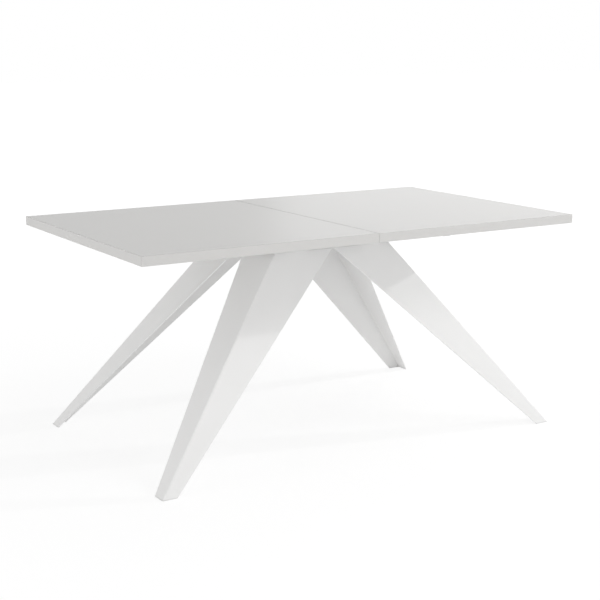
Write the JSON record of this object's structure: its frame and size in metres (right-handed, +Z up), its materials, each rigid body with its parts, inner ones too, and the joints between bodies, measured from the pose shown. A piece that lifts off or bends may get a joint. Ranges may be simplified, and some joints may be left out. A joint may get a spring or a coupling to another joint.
{
  "type": "extendable dining table",
  "caption": "Rectangular white dining table whose halves slide apart on ball runners for a stored leaf, on tapered folded sheet legs that gather under the middle.",
  "frame": {"origin": "on the floor under the middle of the closed top", "axes": "+X along the table to the right, +Y to the back, +Z up"},
  "size_m": [1.64, 0.95, 0.75],
  "materials": {
    "white_board": "satin white melamine on particle board",
    "white_edge": "satin white edge band",
    "beech": "fluted raw beech",
    "white_leg_paint": "satin white powder coat",
    "white_frame_paint": "matt white powder coat",
    "nylon": "matt white nylon",
    "felt": "pressed felt",
    "rubber": "matt black rubber",
    "zinc_plate": "bright zinc plate",
    "runner_steel": "rolled zinc-plated strip",
    "cage_steel": "yellow passivated strip",
    "ball_steel": "polished bearing steel",
    "black_lever": "black painted steel"
  },
  "bodies": {
    "base": {"leg_front_left": "white_leg_paint", "leg_front_right": "white_leg_paint", "leg_back_left": "white_leg_paint", "leg_back_right": "white_leg_paint", "head_plate_front_left": "white_leg_paint", "head_plate_front_right": "white_leg_paint", "head_plate_back_left": "white_leg_paint", "head_plate_back_right": "white_leg_paint", "foot_glides": "nylon", "leg_bolts": "zinc_plate", "leg_nuts": "zinc_plate", "cross_rail_left": "white_frame_paint", "cross_rail_right": "white_frame_paint", "end_rail_left": "white_frame_paint", "end_rail_right": "white_frame_paint", "side_rail_front": "white_frame_paint", "side_rail_back": "white_frame_paint", "leaf_guide_front": "nylon", "leaf_guide_back": "nylon", "felt_strips": "felt", "leaf_stop": "zinc_plate", "channel_front": "runner_steel", "channel_back": "runner_steel", "channel_screws": "zinc_plate", "end_buffers": "rubber"},
    "left_half": {"left_panel": "white_board", "left_end_band": "white_edge", "left_side_bands": "white_edge", "left_seam_band": "white_edge", "seam_dowels": "beech", "slider_front_left": "runner_steel", "slider_back_left": "runner_steel", "bracket_front_left": "zinc_plate", "bracket_back_left": "zinc_plate", "left_screws": "zinc_plate", "latch_plates": "zinc_plate", "latch_pivots": "zinc_plate"},
    "right_half": {"right_panel": "white_board", "right_end_band": "white_edge", "right_side_bands": "white_edge", "right_seam_band": "white_edge", "slider_front_right": "runner_steel", "slider_back_right": "runner_steel", "bracket_front_right": "zinc_plate", "bracket_back_right": "zinc_plate", "right_screws": "zinc_plate", "latch_keepers": "zinc_plate"},
    "left_cages": {"cage_front_left": "cage_steel", "cage_back_left": "cage_steel", "balls_left": "ball_steel"},
    "right_cages": {"cage_front_right": "cage_steel", "cage_back_right": "cage_steel", "balls_right": "ball_steel"},
    "leaf": {"leaf_panel": "white_board", "leaf_seam_bands": "white_edge", "leaf_end_bands": "white_edge", "leaf_dowels": "beech"},
    "front_latch": {"latch_lever_front": "black_lever"},
    "back_latch": {"latch_lever_back": "black_lever"}
  },
  "joints": [
    {"name": "left_half_slide", "type": "slide", "parent": "base", "child": "left_half", "axis": [-1, 0, 0], "range_m": [0, 0.215]},
    {"name": "right_half_slide", "type": "slide", "parent": "base", "child": "right_half", "axis": [1, 0, 0], "range_m": [0, 0.215]},
    {"name": "left_cage_slide", "type": "slide", "parent": "base", "child": "left_cages", "axis": [-1, 0, 0], "range_m": [0, 0.1075]},
    {"name": "right_cage_slide", "type": "slide", "parent": "base", "child": "right_cages", "axis": [1, 0, 0], "range_m": [0, 0.1075]},
    {"name": "leaf_slide", "type": "slide", "parent": "base", "child": "leaf", "axis": [-1, 0, 0], "range_m": [0, 0.96]},
    {"name": "front_latch_turn", "type": "hinge", "parent": "left_half", "child": "front_latch", "pos_m": [-0.04, -0.325, 0.7135], "axis": [0, 0, 1], "range_deg": [0, 90]},
    {"name": "back_latch_turn", "type": "hinge", "parent": "left_half", "child": "back_latch", "pos_m": [-0.04, 0.325, 0.7135], "axis": [0, 0, -1], "range_deg": [0, 90]}
  ],
  "couplings": [
    {"joint": "left_cage_slide", "follows": "left_half_slide", "ratio": 0.5},
    {"joint": "right_cage_slide", "follows": "right_half_slide", "ratio": 0.5}
  ]
}
